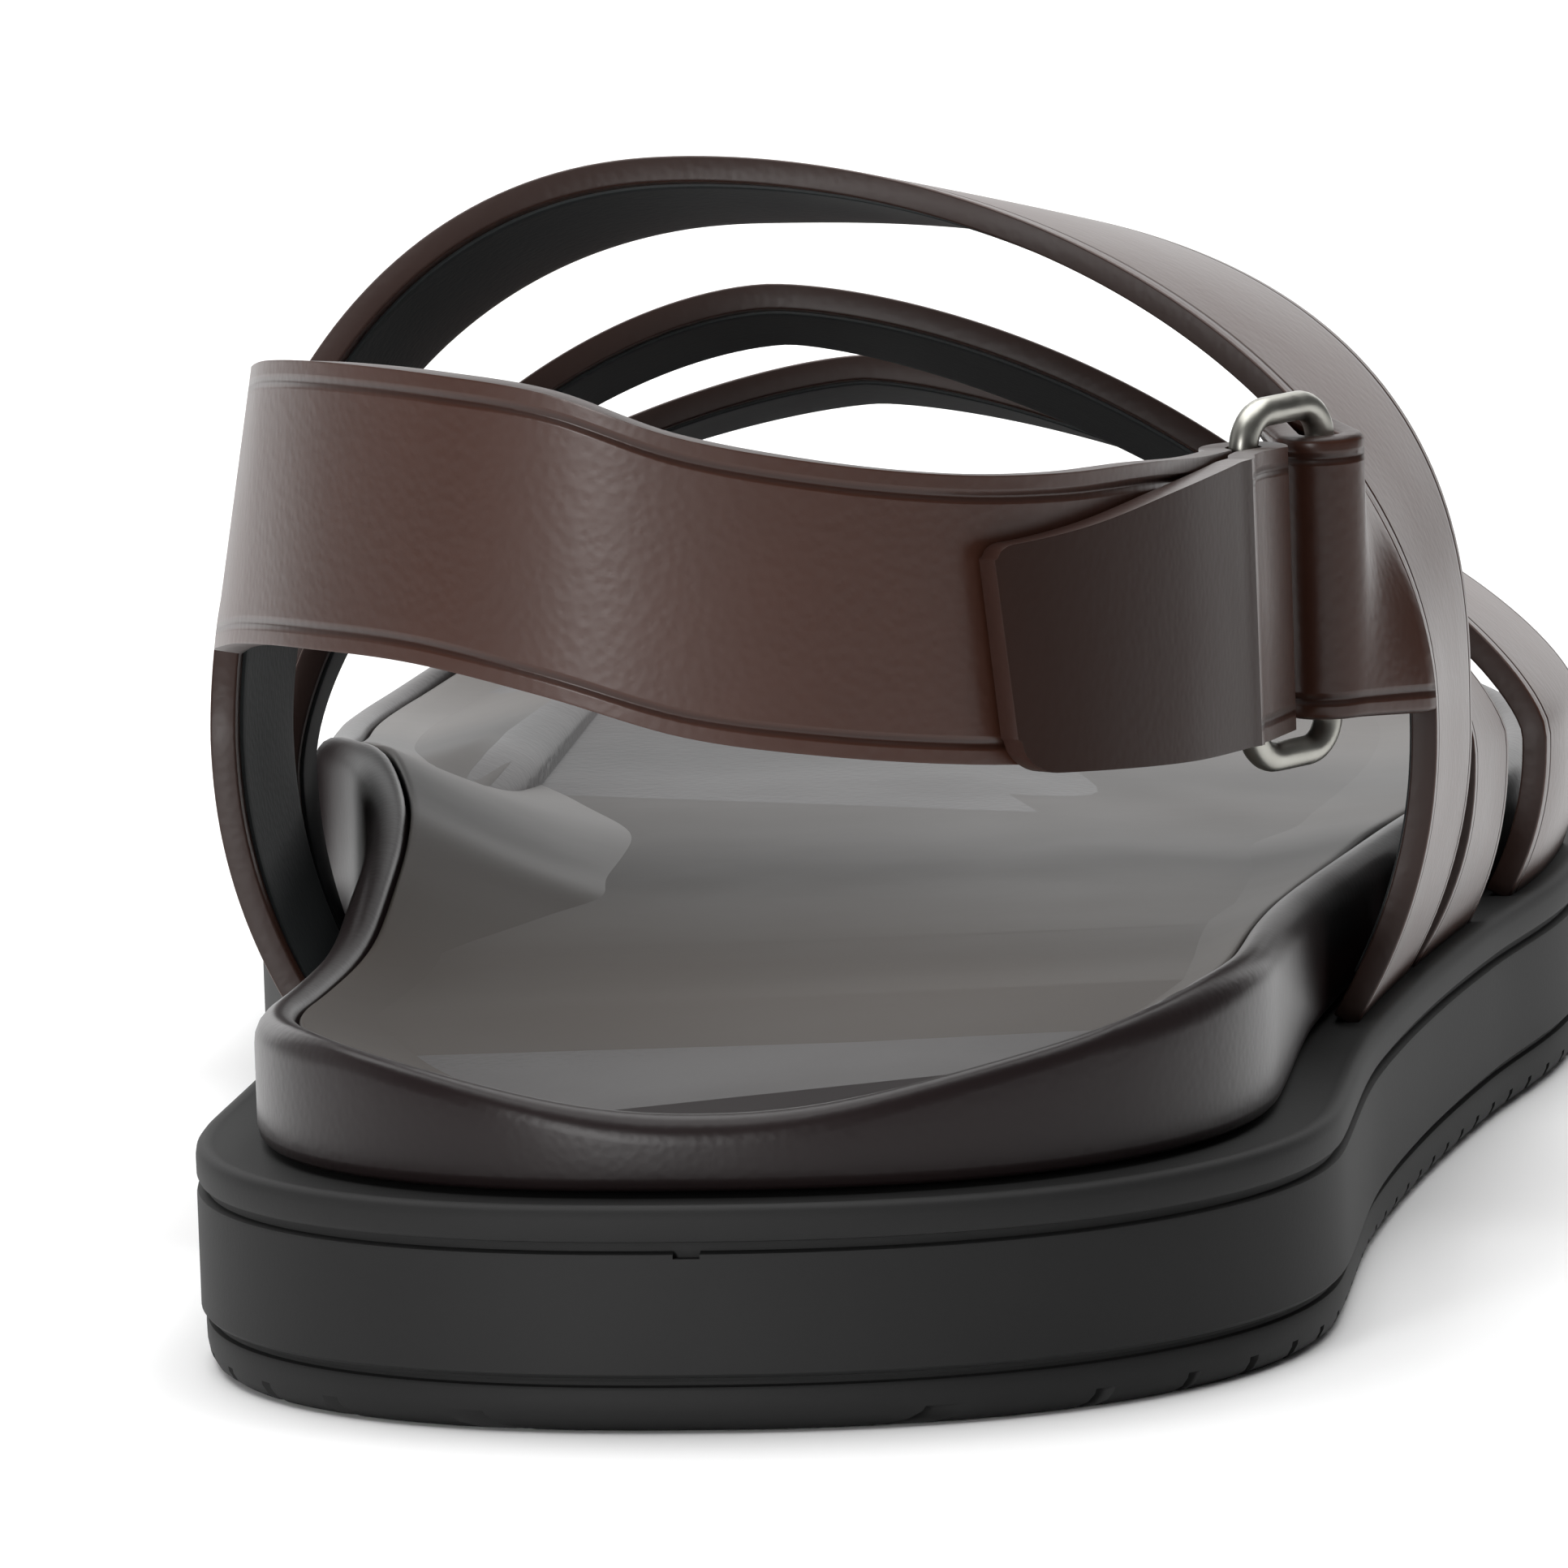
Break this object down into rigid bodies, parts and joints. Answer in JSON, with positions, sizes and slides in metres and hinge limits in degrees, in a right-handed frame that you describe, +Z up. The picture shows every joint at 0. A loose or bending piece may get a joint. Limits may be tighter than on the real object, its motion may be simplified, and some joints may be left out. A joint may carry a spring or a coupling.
{
  "type": "sandal",
  "caption": "Right leather sandal with a ribbed rubber sole, a moulded footbed, vamp straps, an instep strap and a heel strap that closes through a wire ring.",
  "frame": {"origin": "middle of the sandal's bounding box, on the floor under the sole", "axes": "+X from the heel to the toe, +Y to the inner side of the foot, +Z up"},
  "size_m": [0.298, 0.1218, 0.0907],
  "materials": {
    "sole_rubber": "moulded matt black rubber",
    "footbed_wrap": "smooth dark brown wrap, semi-gloss",
    "insole_leather": "glossy black leather",
    "strap_leather": "smooth brown leather, semi-gloss, black lining",
    "ring_metal": "gunmetal plating"
  },
  "bodies": {
    "root": {"outsole": "sole_rubber", "footbed": "footbed_wrap", "insole": "insole_leather", "rear_vamp_strap": "strap_leather", "front_vamp_strap": "strap_leather", "instep_and_heel_strap": "strap_leather", "ring": "ring_metal"}
  },
  "joints": []
}
